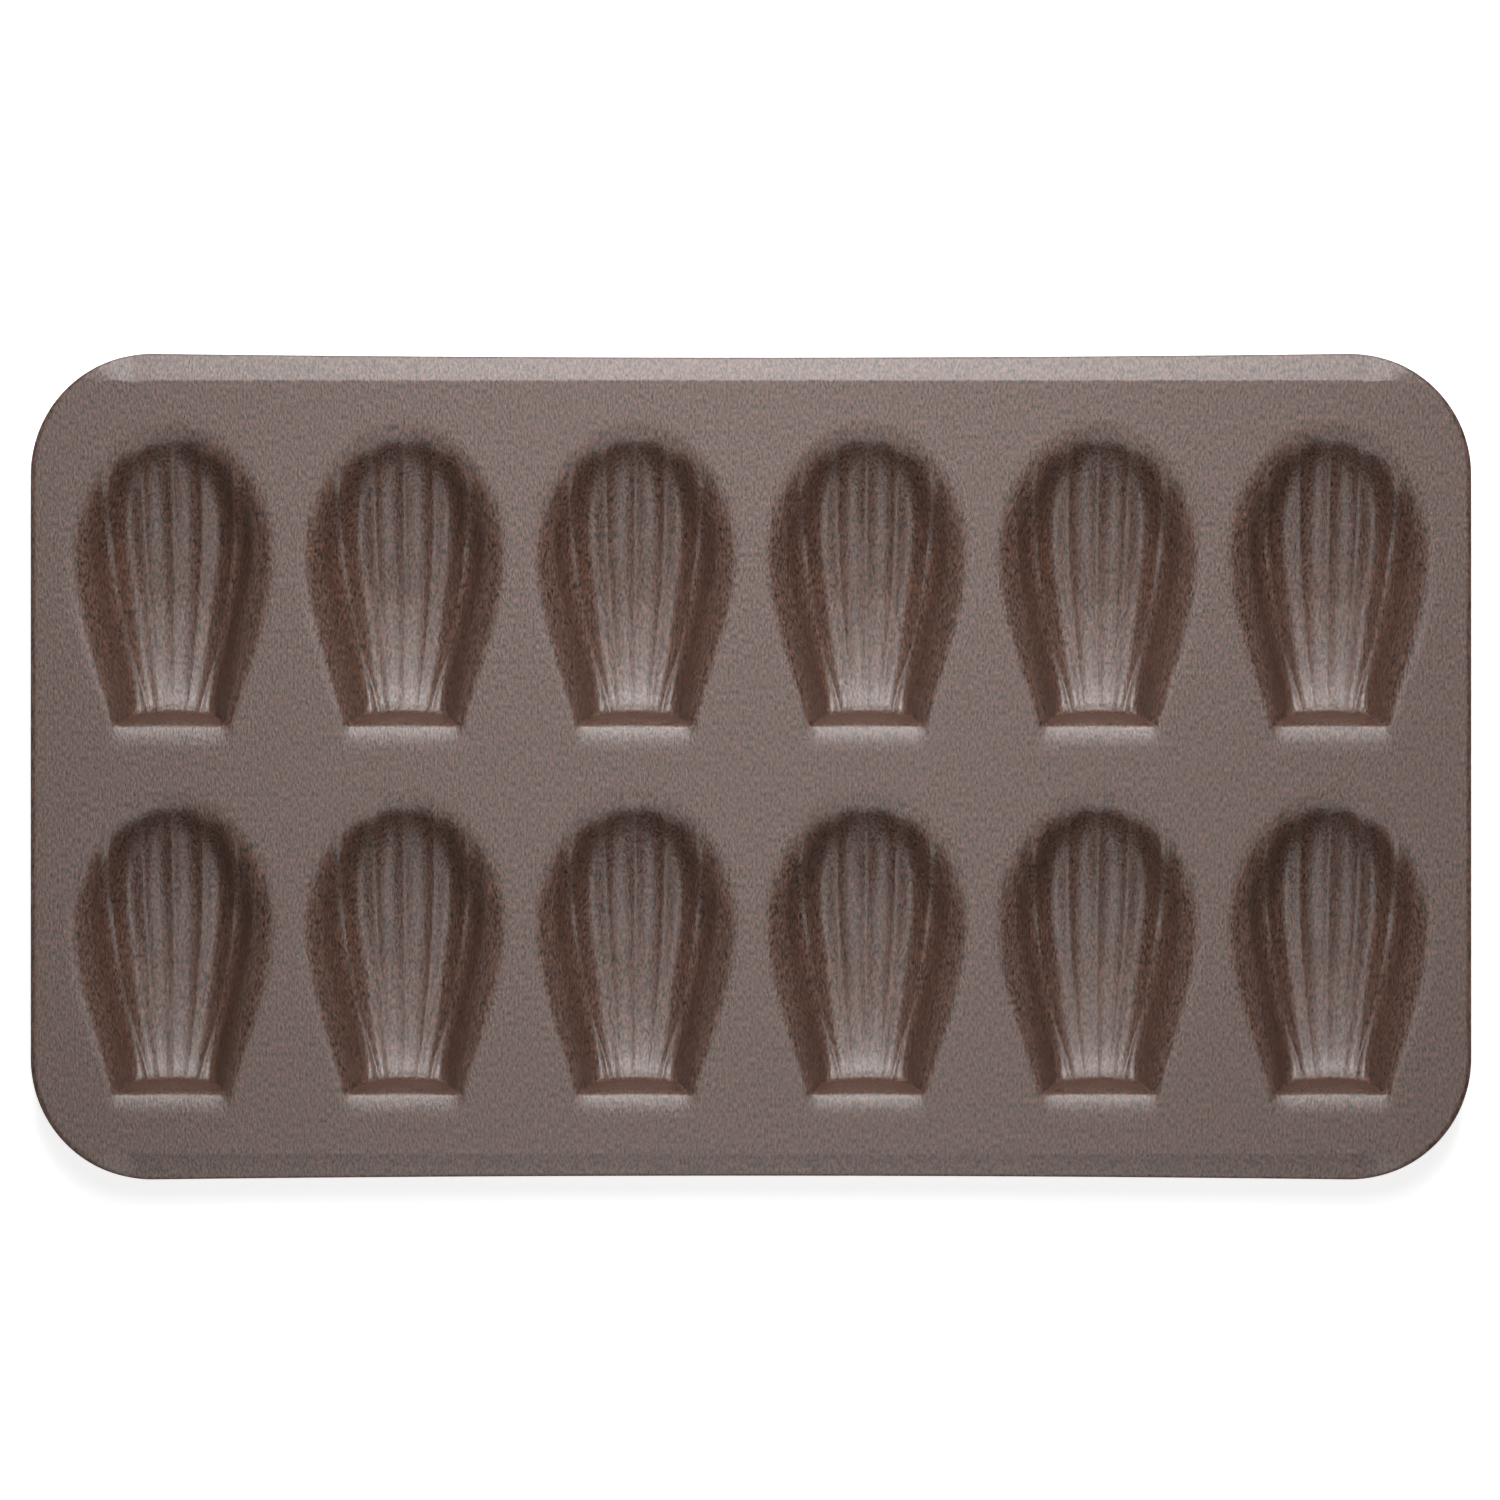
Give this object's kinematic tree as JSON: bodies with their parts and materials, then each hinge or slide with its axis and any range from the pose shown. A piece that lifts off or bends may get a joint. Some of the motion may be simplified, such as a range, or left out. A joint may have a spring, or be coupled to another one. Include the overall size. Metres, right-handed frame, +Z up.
{
  "type": "madeleine pan",
  "caption": "Rectangular pressed-steel baking pan with fluted shell-shaped moulds in rows, a flat deck, turned-down long flanges and a turned lip; holds batter for madeleines.",
  "frame": {"origin": "on the surface the pan stands on, under the middle of its outline", "axes": "+X along the long side, +Y from the cups' narrow ends towards their wide ends, +Z up out of the cups"},
  "size_m": [0.38, 0.218, 0.0163],
  "materials": {
    "coated_steel": "champagne-brown metallic non-stick coat on steel sheet, satin, with a fine grain"
  },
  "bodies": {
    "root": {"deck": "coated_steel", "back_flange": "coated_steel", "front_flange": "coated_steel", "left_rim": "coated_steel", "right_rim": "coated_steel", "cup_front_1": "coated_steel", "cup_front_2": "coated_steel", "cup_front_3": "coated_steel", "cup_front_4": "coated_steel", "cup_front_5": "coated_steel", "cup_front_6": "coated_steel", "cup_back_1": "coated_steel", "cup_back_2": "coated_steel", "cup_back_3": "coated_steel", "cup_back_4": "coated_steel", "cup_back_5": "coated_steel", "cup_back_6": "coated_steel"}
  },
  "joints": []
}
